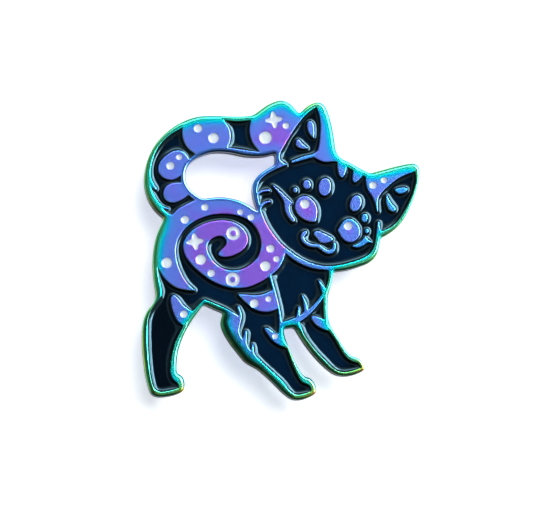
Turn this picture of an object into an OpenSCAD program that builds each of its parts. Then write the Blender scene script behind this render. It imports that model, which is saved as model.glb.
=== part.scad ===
// Enamel pin: a die-struck plated cat with soft enamel fills, two soldered
// posts and two butterfly clutches.
//
// The pin stands upright, +Z up. Its art faces -Y. The origin is on the flat
// back face, halfway between the two posts, which point along +Y.

/* [Badge] */
// Overall height of the struck plate, paws to ear tip
pin_height = 38; // [32:1:50]
// Thickness of the struck plate, back face to the top of the raised lines
plate_t = 1.8; // [1.4:0.1:2.5]
// Depth of the struck cells that hold the dark enamel
cell_depth = 0.5; // [0.3:0.05:0.7]
// How far the dark enamel lies below the raised lines
dark_sink = 0.25; // [0.1:0.05:0.28]
// Depth of the small cells that hold the white enamel
dot_depth = 0.3; // [0.2:0.05:0.5]
// How far the white enamel lies below the metal around it
white_sink = 0.06; // [0.02:0.02:0.14]

/* [Posts] */
// Radius of the post's shank
post_r = 0.55; // [0.45:0.01:0.6]
// Length of the post behind the plate
post_len = 8.6; // [7.8:0.1:10]
// Width across the two posts
post_span = 14; // [13:0.5:15]
// Height of the right post above the left one
post_rise = 4.6; // [4:0.1:6]

/* [Clutches] */
// Radius of the clutch's round cap
cap_r = 5.6; // [5.2:0.1:5.8]
// Gap for the cloth, from the plate's back to the cap
cloth_gap = 2.3; // [2.1:0.1:2.8]
// Thickness of the pressed sheet
sheet_t = 0.3; // [0.25:0.01:0.35]
// Width of the spring strip
strip_w = 4.4; // [3.5:0.1:4.5]

/* [Hidden] */

plating = "mediumslateblue";
dark = "midnightblue";
white = "white";
nickel = "silver";
tin = "darkgray";

drawn_height = 38;            // height at which the outlines below are drawn
size = pin_height / drawn_height;
curve_step = 0.4;             // length of one straight piece of a curve
fine_step = 0.22;             // the same, on small shapes
round_fn = 64;

cell_floor = plate_t - cell_depth;
dark_top = plate_t - dark_sink;
dot_floor = plate_t - dot_depth;
white_top = plate_t - white_sink;

left_post = [-post_span / 2, -post_rise / 2];
right_post = [post_span / 2, post_rise / 2];

foot_r = 1.1;                 // the post's soldered foot
foot_t = 0.15;                // half of it lies in the plate, half stands out
solder_r = 1.85;
recess_r = 1.9;               // shallow seat struck in the back for foot and solder
foot_cone = 0.3;              // top of the cone between foot and shank
neck_r = post_r - 0.17;
seat_neck = [cloth_gap - 0.1, cloth_gap + 1.3];        // neck at the clutch's seat
tip_neck = [post_len - 2.2, post_len - 1.8];           // safety neck near the point
point_len = 1.3;

cap_depth = 1.15;             // outside height of the cap's wall
cap_lip = 0.8;                // how far the rolled lip reaches inwards
lip_t = 0.25;
cap_hole_r = post_r + 0.2;
seat_gap = 0.05;              // play under the spring seat
seat_r = cap_r - sheet_t - 0.25;
seat_w = 7.4;                 // width of the seat's flat strip
wing_t = 0.25;                // thickness of the spring sheet
curl_x = cap_r - 2.5;         // the hinge line of a wing, from the post
curl_r = 0.75;                // outside radius of the curl round that line
jaw_lift = 0.15;              // the jaws lie this far above the seat
cup_r = curl_r + 0.06;        // inside radius of the seat's rolled ends, which cup the curls
cup_t = 0.25;
seat_window = [2 * curl_x - 0.2, strip_w + 0.3];       // the jaws dip into this window
curl_y = cloth_gap + sheet_t + seat_gap + sheet_t + jaw_lift + curl_r;
jaw_r = post_r + 0.05;
jaw_split = 0.1;              // half the gap between the two jaws
wing_low = 1.15;              // where the return strip turns up, from the post
ear_rise = 2.9;               // the ear's top above the hinge line
ear_x = curl_x;               // the ear's top, from the post

// ---- smooth outlines --------------------------------------------------
// A loop is a list of [x, z] points. A third number marks a sharp corner.

function flat(p) = [p[0], p[1]] * size;

function heading(a, b, c) =
    let (u = norm(b - a), w = norm(c - b))
    (w * (b - a) / u + u * (c - b) / w) / (u + w);

function hermite(p, q, v, w, t) =
    (2 * t * t * t - 3 * t * t + 1) * p + (t * t * t - 2 * t * t + t) * v
    + (3 * t * t - 2 * t * t * t) * q + (t * t * t - t * t) * w;

// Points from b up to c, along a curve that also heeds the points a and d
function stretch(a, b, c, d, step) =
    let (
        p = flat(b),
        q = flat(c),
        gap = norm(q - p),
        start = len(b) > 2 ? (q - p) / gap : heading(flat(a), p, q),
        end = len(c) > 2 ? (q - p) / gap : heading(p, q, flat(d)),
        straight = len(b) > 2 && len(c) > 2,
        n = straight ? 1 : max(1, round(gap / step))
    )
    [for (i = [0 : n - 1]) hermite(p, q, start * gap, end * gap, i / n)];

function smooth(loop, step = curve_step) =
    let (n = len(loop))
    [for (i = [0 : n - 1])
        each stretch(loop[(i + n - 1) % n], loop[i], loop[(i + 1) % n], loop[(i + 2) % n], step)];

// ---- outlines of the cat ----------------------------------------------

// Outer edge, clockwise from the tip of the tail
SILHOUETTE = [
    [1.8, 17.1], [2.9, 16.6], [3.5, 15.95], [3.9, 15.35, 1],
    [4.9, 16.35], [5.9, 16.85], [6.6, 16.95], [7.2, 16.5], [7.65, 15.5], [8.1, 13.8],
    [8.4, 12], [8.6, 10.6], [9, 9.95], [10, 9.4], [11.5, 8.6], [12.85, 7.9, 1],
    [14.4, 8.35], [16.2, 8.85], [17.8, 9.2], [18.6, 9.25], [19.1, 8.95], [19.2, 8.2],
    [19.05, 7], [18.6, 5.3], [17.9, 3.6], [17.1, 2.1], [16.2, 1], [15.1, 0.2], [14.05, -0.35, 1],
    [13.95, -1.1], [13.7, -2.1], [13.3, -2.9], [12.6, -3.45], [11.2, -4], [9.6, -4.45], [8.05, -4.65, 1],
    [7.95, -5.4], [7.7, -6.5], [7.4, -7.5], [7.3, -8.8], [7.3, -10.2], [7.55, -11.3],
    [8.2, -12.5], [9, -13.8], [9.7, -14.8], [10.2, -15.25], [11, -15.5], [11.5, -15.9], [11.8, -16.5],
    [11.95, -17, 1], [11, -17.45], [9.9, -17.75], [9, -17.8], [8.1, -17.55], [7.1, -16.85],
    [5.9, -15.7], [4.7, -14.25], [3.8, -12.9], [3.05, -11.65, 1],
    [1.6, -11.9, 1], [1.85, -12.9], [2.4, -14.5], [3.1, -16.1], [3.8, -17.4], [4.3, -17.95, 1],
    [4.7, -17.9], [5.3, -18.4], [5.7, -19.2], [5.7, -20, 1], [4.8, -20.45], [3.5, -20.8], [2.7, -20.7],
    [1.9, -20.15], [0.4, -18.7], [-0.9, -17.5], [-1.7, -16.85], [-2.3, -16.55], [-3.1, -16.05],
    [-4, -15], [-5.2, -13.4], [-5.95, -12], [-6.15, -11.1], [-6, -10.4], [-5.75, -9.95, 1],
    [-7, -9.45], [-8.25, -8.85, 1], [-9.2, -10.1], [-10.2, -11.6], [-11, -13.2], [-11.5, -14.8],
    [-11.7, -16.3], [-11.7, -17.55, 1], [-11.2, -17.65], [-10.8, -18.2], [-10.7, -19], [-10.85, -19.75, 1],
    [-11.8, -20.15], [-13, -20.4], [-14.1, -20.45], [-14.85, -20.1], [-15.2, -19.2], [-15.55, -17.8],
    [-15.8, -16], [-15.95, -14], [-15.95, -12.2], [-15.75, -10.8], [-15.3, -9.7], [-14.6, -8.8],
    [-14.25, -8], [-14.35, -6.8], [-14.55, -5.2], [-14.6, -3.6], [-14.45, -1.8], [-14.1, -0.2],
    [-13.6, 1], [-13.15, 1.9, 1], [-14, 2.6], [-14.8, 3.6], [-15.35, 4.8], [-15.65, 6.3],
    [-15.55, 7.9], [-15.2, 9.4], [-14.5, 10.9], [-13.35, 12.35], [-12.05, 13.45], [-10.6, 14.3],
    [-9, 14.85], [-7, 15.02], [-5, 14.95], [-3.2, 14.98], [-2, 15.15], [-1, 15.85], [0.2, 16.65]
];

// The gap between tail and back
TAIL_HOLE = [
    [-7.2, 10.3], [-6, 10.38], [-4.6, 10.25], [-3.2, 9.95], [-1.8, 9.85], [-0.4, 9.95], [0.85, 10.3, 1],
    [0.8, 8.88, 1], [-0.4, 8.15], [-1.4, 7.4], [-1.95, 6.6], [-2.1, 5.6], [-1.9, 4.3], [-1.4, 2.85, 1],
    [-2.6, 3.65], [-4, 4.3], [-5.4, 4.6], [-7, 4.6], [-8.3, 4.4, 1],
    [-9.3, 5], [-10.1, 5.8], [-10.5, 6.7], [-10.5, 7.7], [-10.1, 8.7], [-9.2, 9.5], [-8.3, 9.95]
];

// Dark cells
TAIL_BAND = [
    [-5.7, 14.4, 1], [-4, 14.28], [-2.2, 14.45, 1], [-2.4, 13.5], [-2.35, 12.5], [-2, 11.5],
    [-1.15, 10.4, 1], [-2.6, 10.55], [-4, 10.75], [-5.2, 10.9, 1], [-4.9, 11.6], [-4.78, 12.4], [-5.05, 13.5]
];
TAIL_BEND = [
    [-10.85, 13.4, 1], [-10.9, 12.5], [-10.7, 11.6], [-10.2, 10.75], [-9.25, 10, 1], [-10.05, 9.35, 1],
    [-10.45, 10], [-11, 10.4], [-11.7, 10.45], [-12.5, 10.1], [-13.3, 9.45], [-13.85, 8.6], [-13.9, 7.75],
    [-13.45, 7.1], [-12.7, 6.75], [-11.9, 6.8], [-11.05, 7.35, 1], [-11.1, 6.85], [-11.05, 6.35, 1],
    [-11.9, 6.33], [-12.7, 6.05], [-13.2, 5.5], [-13.3, 4.8], [-13, 4.15], [-12.4, 3.85], [-11.6, 3.95],
    [-10.9, 4.3], [-10.2, 4.85, 1], [-9.35, 4.15, 1], [-10.5, 3.6], [-11.5, 3], [-12.25, 2.25, 1],
    [-12.8, 2.5], [-13.45, 3.1, 1], [-12.65, 2.95, 1], [-12.6, 3.15, 1], [-13.2, 3.3], [-13.7, 3.65],
    [-14.15, 4.2], [-14.6, 5], [-14.9, 5.85, 1], [-14.2, 5.35, 1], [-14.1, 5.6, 1], [-14.5, 6.15],
    [-14.8, 6.8], [-14.88, 7.6], [-14.7, 8.9], [-14.2, 10.3], [-13.4, 11.5], [-12.4, 12.45]
];
FACE = [
    // left ear, from its tip
    [6.1, 16.25, 1], [6.42, 15.4], [6.6, 14], [6.52, 12.4], [6.35, 11.2], [6.15, 10.6], [5.7, 10.28],
    [4.4, 9.92], [2.8, 9.25, 1], [2.85, 9.02, 1], [4.2, 9.42], [5.7, 9.85, 1],
    // forehead, with its two stripes
    [6.4, 9.45], [7.2, 9.22], [8, 9.32], [8.68, 9.3, 1], [8.72, 8.4], [8.9, 7.6], [9.2, 7.2],
    [9.55, 7.55], [9.85, 8.65, 1], [10.7, 8.2, 1], [10.6, 7.4], [10.6, 6.9], [10.85, 6.6], [11.3, 6.95],
    [11.95, 7.6, 1], [12.25, 7.35, 1],
    // right ear, with the spike that parts it from the face
    [12.3, 6.6], [12.5, 5.8], [12.95, 5.1], [13.35, 4.3], [13.65, 2.9, 1], [13.8, 2.9, 1], [13.75, 3.9],
    [13.85, 4.7], [14.3, 5.4], [15.3, 6.4], [16.6, 7.35], [18.6, 8.2, 1], [18.7, 7.2], [18.35, 5.7],
    [17.75, 4.2], [16.9, 2.7], [16, 1.5], [15.1, 0.85], [14.15, 0.45, 1], [13.95, 1.1], [13.9, 1.75, 1],
    [13.72, 1.75, 1],
    // cheek and chin
    [13.58, 0.6], [13.4, -0.65], [13.08, -1.78], [12.47, -2.55], [11.35, -3.12], [9.83, -3.62], [8.2, -3.95],
    [6.77, -3.98], [5.35, -3.67], [3.95, -3.07], [2.62, -2.2], [1.5, -1.3], [0.5, -0.08], [-0.4, 1.35],
    [-1.08, 3.1, 1],
    // two fur strokes, then the brow up to the left ear
    [-0.85, 3.5], [-0.4, 3.88], [0.2, 4.05, 1], [0.15, 4.25, 1], [-0.4, 4.15], [-0.85, 3.95],
    [-1.15, 3.65, 1], [-1.3, 4.3], [-1.4, 4.95, 1], [-0.9, 5.28], [0.1, 5.42, 1], [0.08, 5.65, 1],
    [-0.6, 5.62], [-1.1, 5.45], [-1.5, 5.2, 1], [-1.45, 6], [-1.2, 6.7], [-0.6, 7.35], [0.6, 8.1],
    [2.3, 8.85, 1], [1.8, 9.1], [1.4, 9.5], [1.38, 10], [1.9, 11.1], [2.9, 12.8], [4, 14.4], [5.1, 15.55]
];
BODY = [
    // inner edge of the spiral, from its hooked end outwards
    [-6.45, -2.45, 1], [-6, -2], [-5.55, -1.5], [-5.42, -0.9], [-5.7, -0.45], [-6.3, -0.3], [-7, -0.5],
    [-7.6, -1], [-7.85, -1.7], [-7.6, -2.7], [-7, -3.6], [-6.1, -4.3], [-4.9, -4.65], [-3.6, -4.5],
    [-2.4, -3.85], [-1.5, -2.9], [-1.1, -1.7], [-1.15, -0.5], [-1.65, 0.7], [-2.6, 1.7], [-4, 2.3],
    [-5.6, 2.5], [-7.3, 2.35], [-9, 1.75], [-10.4, 0.8], [-11.35, -0.5], [-11.75, -2], [-11.6, -3.6],
    [-11.1, -5], [-10.4, -6.2], [-9.35, -7.2, 1],
    // flank, then down the rear leg
    [-10.6, -7.12], [-11.9, -6.75], [-13, -5.9], [-14.05, -4.35, 1], [-13.9, -5.6], [-13.6, -7],
    [-13.62, -7.9], [-14.1, -8.6], [-14.75, -9.5], [-15.2, -10.7], [-15.32, -12.3], [-15.28, -14.4],
    [-15.1, -16.8], [-14.8, -18.6], [-14.45, -19.5], [-13.9, -19.8], [-12.7, -19.7], [-11.45, -19.35, 1],
    [-11.6, -18.8], [-12.1, -18.35], [-12.4, -17.8], [-12.45, -16.6], [-12.25, -15], [-11.7, -13.3],
    [-10.85, -11.6, 1],
    // hip patch and the belly line
    [-11.4, -11.2], [-12, -10.2], [-12.35, -9], [-12.4, -8.1], [-12.1, -7.75], [-11.6, -8.1],
    [-10.9, -9], [-9.75, -9.85, 1], [-9, -9.05], [-8.25, -8.3, 1], [-7, -8.8], [-5.2, -9.6],
    // fur strokes on the middle leg
    [-3.92, -10.38, 1], [-3.98, -9.8], [-4.15, -9.2], [-3.95, -9.05], [-3.75, -9.6], [-3.55, -10.3],
    [-3.75, -11.3], [-3.9, -12.4], [-3.52, -13.25, 1], [-3.25, -12.6], [-3.05, -12.08, 1],
    [-2.92, -12.5], [-3, -13.4], [-2.85, -14.1], [-2.5, -14.7, 1], [-2.38, -14.2], [-2.25, -13.75, 1],
    [-2.12, -14.3], [-2.05, -15],
    // paw of the middle leg
    [-1.2, -16], [0.4, -17.5], [1.7, -18.8], [2.4, -19.7], [3.2, -20.15], [4.2, -20], [5.1, -19.7, 1],
    [5, -19.2], [4.6, -18.85], [4, -18.6], [3.4, -17.7], [2.8, -16.4], [2.3, -15], [2.05, -14.3, 1],
    // leg patch, line of the shoulder and belly patch
    [1.2, -14], [0.3, -13.4], [-0.4, -12.5], [-0.75, -11.8], [-0.3, -11.85], [0.3, -12.3], [1, -12.6, 1],
    [1.12, -11.5], [1.1, -10.3], [1, -9.35, 1], [0.2, -9.7], [-0.8, -9.8], [-1.9, -9.5], [-2.9, -8.8],
    [-4.05, -7.65, 1], [-3.1, -7.65], [-2.1, -7.75], [-0.9, -7.6], [0.35, -7.05, 1], [-0.1, -5.4, 1],
    // outer edge of the spiral, back to its hooked end
    [-1.3, -6.1], [-2.6, -6.65], [-4, -6.85], [-5.5, -6.65], [-7, -6.1], [-8.5, -5.1], [-9.8, -3.9],
    [-10.65, -2.6], [-10.85, -1.4], [-10.4, -0.4], [-9.5, 0.5], [-8.2, 1.2], [-6.8, 1.6], [-5.5, 1.65],
    [-4.3, 1.35], [-3.4, 0.75], [-2.85, -0.1], [-2.75, -1], [-3.2, -1.85], [-4, -2.45], [-5, -2.85],
    [-6, -2.9], [-6.4, -2.75, 1]
];
CHEST = [
    [1.95, -2.4, 1], [3, -3.2], [4.2, -3.85], [5.6, -4.3], [7.45, -4.5, 1], [7.42, -5.4], [7, -6.9, 1],
    [6.75, -6.5], [6.1, -5.75, 1], [6.3, -6.4], [6.6, -7.5, 1], [5.7, -8.65], [4.75, -9.55, 1],
    [4.6, -8.7], [4, -7.65, 1], [4.2, -8.7], [4.3, -9.85, 1], [3.68, -10.25, 1], [3.7, -9.7],
    [3.6, -9.1, 1], [3.42, -9.7], [3.3, -10.45, 1], [2.5, -10.8], [1.45, -11.1, 1], [1.3, -10],
    [1.05, -8.7], [0.65, -7.1], [0.15, -5.2, 1], [1, -4.45], [1.6, -3.5]
];
FRONT_LEG = [
    [6.7, -7.95, 1], [6.7, -9.3], [6.75, -10.8, 1], [6.2, -10.5], [5.6, -10.32], [5.15, -10.4],
    [5.4, -11], [6, -11.6], [6.7, -11.95], [7.4, -12.15, 1], [8.1, -13.1], [8.9, -14.5], [9.6, -15.5],
    [10.3, -15.95], [11, -16.15], [11.4, -16.75, 1], [10.2, -17.15], [9.07, -17.32], [8.12, -17],
    [6.92, -15.92], [5.52, -14.42], [4.32, -12.75], [3.6, -11.1, 1], [4.7, -10.3], [5.7, -9.3]
];

// Raised metal islands in the face and ears
EYE_LEFT = [
    [4.6, 4.85], [5.3, 4.5], [5.85, 3.85], [6.05, 3], [6, 2.2], [5.85, 1.6, 1], [5, 1.65], [4.1, 2.05],
    [3.45, 2.75], [3.22, 3.5], [3.4, 4.2], [3.9, 4.7]
];
EYE_RIGHT = [
    [10.1, 2.05], [10.9, 1.65], [11.4, 0.9], [11.45, 0.1], [11, -0.6], [10.3, -0.95], [9.6, -0.8],
    [9.05, -0.2], [8.62, 0.55, 1], [9, 1.2], [9.5, 1.8]
];
NOSE = [
    [5.55, 0.15], [5.95, 0.45], [6.7, 0.2], [7.5, -0.15], [8.05, -0.6], [7.5, -0.95],
    [6.8, -1.1], [6.35, -0.95], [5.95, -0.45]
];
MOUTH = [
    [4.75, 0.4], [4.2, 0.3], [3.92, -0.2], [4.05, -0.8], [4.6, -1.35], [5.3, -1.6], [6, -1.6, 1],
    [6.6, -2.05], [7.4, -2.45], [8.1, -2.2], [8.35, -1.5], [8.2, -0.95], [8, -1.1], [7.95, -1.6],
    [7.6, -2], [7, -1.8], [6.3, -1.25, 1], [5.7, -1.25], [5, -1.1], [4.5, -0.75], [4.35, -0.25], [4.7, 0.1]
];
CHEEK_LEFT = [
    [0.35, 6.25, 1], [1.2, 5.62], [2.1, 4.75], [2.95, 4, 1], [2.62, 3.7], [2.6, 3.1], [2.85, 2.4],
    [3.25, 1.75], [3, 1.5], [2.6, 1.9], [2.15, 2.6], [1.95, 3.3], [1.9, 4], [1.4, 4.9]
];
CHEEK_RIGHT = [
    [12.05, -0.15, 1], [11.7, -0.7], [11.1, -1.15], [10.35, -1.45, 1], [11.1, -1.6], [11.8, -1.35],
    [12.3, -1], [13, -0.95, 1], [12.5, -0.6]
];
EAR_LEAF_1 = [[5.2, 14.5], [5.6, 14.25], [5.78, 13.5], [5.75, 12.2, 1], [5.25, 12.7], [4.95, 13.4], [4.92, 14.1]];
EAR_LEAF_2 = [[3.7, 12.1], [4.2, 11.6], [5, 10.9, 1], [4.3, 10.88], [3.7, 11.05], [3.42, 11.5]];
EAR_LEAF_3 = [[15.9, 5.8, 1], [16.5, 6.02], [17.2, 6.08], [17.65, 5.95, 1], [17.3, 5.5], [16.7, 5.3], [16.2, 5.42]];
EAR_LEAF_4 = [[14.88, 5.2, 1], [15.15, 4.6], [15.6, 3.9], [16.05, 3.35], [15.85, 3], [15.35, 3.1], [14.95, 3.7], [14.8, 4.4]];

// Brow spots: [x, z, half width, half height, lean]
BROW_SPOTS = [
    [3.3, 5.6, 0.27, 0.34, 0], [4.78, 6.32, 0.5, 0.57, 0], [7.05, 6.05, 0.78, 1.15, -8],
    [10.95, 4, 0.7, 1.08, -20], [12.05, 2.15, 0.4, 0.54, -10], [12.3, 0.5, 0.24, 0.3, 0]
];

// White enamel: dots are [x, z, radius]
TAIL_TIP_DOTS = [[-0.4, 12.25, 0.8], [2.2, 13.8, 0.4]];
TAIL_BAND_DOTS = [[-8.9, 13.3, 0.52], [-6.95, 12.1, 0.66]];
TAIL_BEND_DOTS = [[-11.3, 9.6, 0.36], [-12.4, 8.5, 0.5]];
BACK_DOTS = [
    [-8.1, 3.3, 0.42], [-10.6, 1.7, 0.5], [-3.65, 2.75, 0.36], [-2.3, 2.1, 0.4], [-12.9, -3.75, 0.66]
];
SHOULDER_DOTS = [[0.1, -1.85, 0.5], [0.85, -3.15, 0.38], [-0.55, -4.05, 0.64]];
SPIRAL_DOTS = [[-8.65, -3.3, 0.65], [-7.35, -5, 0.46]];
RINGS = [[-4.55, 0.05, 0.87], [-4.65, -5.75, 0.88]];
BELLY_DOTS = [[-2, -8.75, 0.53], [-0.2, -8.2, 0.36]];
HIP_DOT = [[-10.8, -10.15, 0.46]];
LEG_DOT = [[0.6, -12.85, 0.35]];
EAR_DOTS = [[13.2, 6.35, 0.45], [14.6, 7, 0.38]];
EYE_LIGHTS = [[4.5, 3.85, 0.58], [9.95, 1.1, 0.52]];
TAIL_STAR = [0.7, 14.55];
SPIRAL_STAR = [-9.35, -1.05];
star_tip = [0.98, 1.12, 0.98];  // radii across one blunt tip
star_tip_turn = 12;           // angle between those radii
star_waist_r = 0.55;
star_lean = 8;
ring_hole = 0.4;              // share of a ring's radius that is its metal centre

// ---- flat shapes ------------------------------------------------------

module area(loop, step = curve_step) {
    polygon(smooth(loop, step));
}

module spots(list) {
    for (s = list)
        translate([s[0], s[1]] * size)
            circle(r = s[2] * size, $fn = round_fn);
}

module star(middle) {
    loop = [for (arm = [0 : 90 : 270], k = [-1 : 2])
        let (
            r = k < 2 ? star_tip[k + 1] : star_waist_r,
            a = star_lean + arm + (k < 2 ? k * star_tip_turn : 45)
        )
        middle + r * [cos(a), sin(a)]];
    area(loop, fine_step);
}

module rings() {
    for (s = RINGS)
        translate([s[0], s[1]] * size)
            difference() {
                circle(r = s[2] * size, $fn = round_fn);
                circle(r = s[2] * ring_hole * size, $fn = round_fn);
            }
}

module brow_spots() {
    for (s = BROW_SPOTS)
        polygon([for (a = [0 : 15 : 345])
            let (u = s[2] * cos(a), v = s[3] * sin(a))
            ([s[0], s[1]] + [u * cos(s[4]) - v * sin(s[4]), u * sin(s[4]) + v * cos(s[4])]) * size]);
}

module face_islands() {
    area(EYE_LEFT);
    area(EYE_RIGHT);
    area(NOSE, fine_step);
    area(MOUTH, fine_step);
    area(CHEEK_LEFT, fine_step);
    area(CHEEK_RIGHT, fine_step);
    area(EAR_LEAF_1, fine_step);
    area(EAR_LEAF_2, fine_step);
    area(EAR_LEAF_3, fine_step);
    area(EAR_LEAF_4, fine_step);
    brow_spots();
}

module face_cell() {
    difference() {
        area(FACE);
        face_islands();
    }
}

module silhouette() {
    difference() {
        area(SILHOUETTE);
        area(TAIL_HOLE);
    }
}

// ---- solids of the badge ----------------------------------------------

// Stands a flat shape up in the XZ plane, from depth low to depth high in
// front of the back face
module struck(low, high) {
    rotate([90, 0, 0])
        translate([0, 0, low])
            linear_extrude(high - low)
                children();
}

module dark_fill() {
    color(dark)
        struck(cell_floor, dark_top)
            children();
}

module white_fill() {
    color(white)
        struck(dot_floor, white_top)
            children();
}

module dark_cells() {
    area(TAIL_BAND);
    area(TAIL_BEND);
    face_cell();
    area(BODY);
    area(CHEST);
    area(FRONT_LEG);
}

module white_cells() {
    for (dots = [TAIL_TIP_DOTS, TAIL_BAND_DOTS, TAIL_BEND_DOTS, BACK_DOTS, SHOULDER_DOTS,
                 SPIRAL_DOTS, BELLY_DOTS, HIP_DOT, LEG_DOT, EAR_DOTS, EYE_LIGHTS])
        spots(dots);
    star(TAIL_STAR);
    star(SPIRAL_STAR);
    rings();
}

module base_plate() {
    color(plating)
        difference() {
            struck(0, plate_t)
                silhouette();
            struck(cell_floor, plate_t + 1)
                dark_cells();
            struck(dot_floor, plate_t + 1)
                white_cells();
            for (p = [left_post, right_post])
                at_post(p)
                    turned([[0, -foot_t], [recess_r, -foot_t], [recess_r, 1], [0, 1]]);
        }
}

// ---- posts ------------------------------------------------------------

module at_post(p) {
    translate([p[0], 0, p[1]])
        children();
}

// Turns a profile of [radius, distance behind the plate] points round the post
module turned(profile) {
    rotate([-90, 0, 0])
        rotate_extrude($fn = round_fn)
            polygon(profile);
}

module post() {
    color(nickel)
        turned([
            [0, -foot_t], [foot_r, -foot_t], [foot_r, foot_t], [post_r + 0.15, foot_t],
            [post_r, foot_cone], [post_r, seat_neck[0]],
            [neck_r, seat_neck[0] + 0.1], [neck_r, seat_neck[1] - 0.1], [post_r, seat_neck[1]],
            [post_r, tip_neck[0]], [neck_r, tip_neck[0] + 0.1], [neck_r, tip_neck[1] - 0.1],
            [post_r, tip_neck[1]], [post_r, post_len - point_len],
            [0.3, post_len - 0.35], [0.12, post_len - 0.05], [0, post_len]
        ]);
}

module solder() {
    color(tin)
        turned([
            [foot_r, -foot_t], [solder_r, -foot_t], [solder_r, 0], [solder_r - 0.25, 0.03],
            [foot_r + 0.25, 0.08], [foot_r, foot_t]
        ]);
}

// ---- butterfly clutches -----------------------------------------------

// Round pressed cap with a rolled lip that keeps the spring in
module cap() {
    base = cloth_gap;
    inside = base + sheet_t;
    top = base + cap_depth;
    wall_r = cap_r - sheet_t;
    color(nickel)
        turned([
            [cap_hole_r, base], [cap_r - 0.5, base], [cap_r - 0.15, base + 0.15], [cap_r, base + 0.45],
            [cap_r, top - 0.35], [cap_r - 0.12, top - 0.1], [cap_r - 0.4, top], [cap_r - cap_lip, top],
            [cap_r - cap_lip, top - lip_t], [cap_r - 0.45, top - lip_t], [wall_r, top - 0.4],
            [wall_r, inside + 0.15], [wall_r - 0.15, inside], [cap_hole_r, inside]
        ]);
}

// Rolled end of the spring seat, which cups the curl of the wing on its +X side
module seat_cup() {
    far = 2 * cup_r;
    translate([curl_x, curl_y, -strip_w / 2])
        linear_extrude(strip_w)
            difference() {
                circle(r = cup_r + cup_t, $fn = round_fn);
                circle(r = cup_r, $fn = round_fn);
                translate([-far, -far])
                    square([far, 2 * far]);
                square([far, far]);
            }
}

// Spring seat that turns inside the cap and carries the two wings
module spring_seat() {
    color(nickel) {
        translate([0, cloth_gap + sheet_t + seat_gap, 0])
            rotate([-90, 0, 0])
                linear_extrude(sheet_t)
                    difference() {
                        intersection() {
                            circle(r = seat_r, $fn = round_fn);
                            square([2 * seat_r, seat_w], center = true);
                        }
                        square(seat_window, center = true);
                    }
        seat_cup();
        mirror([1, 0, 0])
            seat_cup();
    }
}

// One spring wing: jaw, curl, return strip and ear, on the +X side of the post
module wing() {
    half_t = wing_t / 2;
    mid_r = curl_r - half_t;
    bend = [wing_low, mid_r + 0.55];                // where the return strip turns up into the ear
    ear = [ear_x, ear_rise];
    color(nickel)
        translate([0, curl_y, 0])
            difference() {
                translate([0, 0, -strip_w / 2])
                    linear_extrude(strip_w) {
                        // curl round the hinge line, open towards the post
                        translate([curl_x, 0])
                            difference() {
                                circle(r = curl_r, $fn = round_fn);
                                circle(r = curl_r - wing_t, $fn = round_fn);
                                translate([-2 * curl_r, -mid_r + half_t])
                                    square([2 * curl_r, 2 * mid_r - wing_t]);
                            }
                        // jaw strip
                        translate([jaw_split, -curl_r])
                            square([curl_x - jaw_split, wing_t]);
                        // return strip and ear
                        polygon([
                            [curl_x, curl_r - wing_t], [curl_x, curl_r],
                            bend + [0.22, half_t], ear + [0.12, 0], ear + [-0.14, 0.14],
                            bend + [-0.18, half_t], bend + [-0.18, -half_t], bend + [0.1, -half_t - 0.1]
                        ]);
                    }
                // half round bite for the post in the jaw
                rotate([90, 0, 0])
                    cylinder(r = jaw_r, h = 4 * curl_r, center = true, $fn = round_fn);
                // corners of the ear
                for (side = [-1, 1])
                    translate([ear_x, ear_rise, side * strip_w / 2])
                        rotate([0, 0, -45])
                            rotate([0, 45, 0])
                                cube([1.3, 3, 1.3], center = true);
            }
}

module wing_mirrored() {
    mirror([1, 0, 0])
        wing();
}

// ---- nodes ------------------------------------------------------------

module dark_tail_band() { dark_fill() area(TAIL_BAND); }
module dark_tail_bend() { dark_fill() area(TAIL_BEND); }
module dark_face() { dark_fill() face_cell(); }
module dark_body() { dark_fill() area(BODY); }
module dark_chest() { dark_fill() area(CHEST); }
module dark_front_leg() { dark_fill() area(FRONT_LEG); }

module white_tail_star() { white_fill() star(TAIL_STAR); }
module white_tail_tip_dots() { white_fill() spots(TAIL_TIP_DOTS); }
module white_tail_band_dots() { white_fill() spots(TAIL_BAND_DOTS); }
module white_tail_bend_dots() { white_fill() spots(TAIL_BEND_DOTS); }
module white_back_dots() { white_fill() spots(BACK_DOTS); }
module white_shoulder_dots() { white_fill() spots(SHOULDER_DOTS); }
module white_spiral_star() { white_fill() star(SPIRAL_STAR); }
module white_spiral_dots() { white_fill() spots(SPIRAL_DOTS); }
module white_rings() { white_fill() rings(); }
module white_belly_dots() { white_fill() spots(BELLY_DOTS); }
module white_hip_dot() { white_fill() spots(HIP_DOT); }
module white_leg_dot() { white_fill() spots(LEG_DOT); }
module white_ear_dots() { white_fill() spots(EAR_DOTS); }
module white_eye_lights() { white_fill() spots(EYE_LIGHTS); }

module post_left() { at_post(left_post) post(); }
module post_right() { at_post(right_post) post(); }
module solder_left() { at_post(left_post) solder(); }
module solder_right() { at_post(right_post) solder(); }

module left_cap() { at_post(left_post) cap(); }
module left_spring_seat() { at_post(left_post) spring_seat(); }
module left_wing_a() { at_post(left_post) wing(); }
module left_wing_b() { at_post(left_post) wing_mirrored(); }
module right_cap() { at_post(right_post) cap(); }
module right_spring_seat() { at_post(right_post) spring_seat(); }
module right_wing_a() { at_post(right_post) wing(); }
module right_wing_b() { at_post(right_post) wing_mirrored(); }

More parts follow.
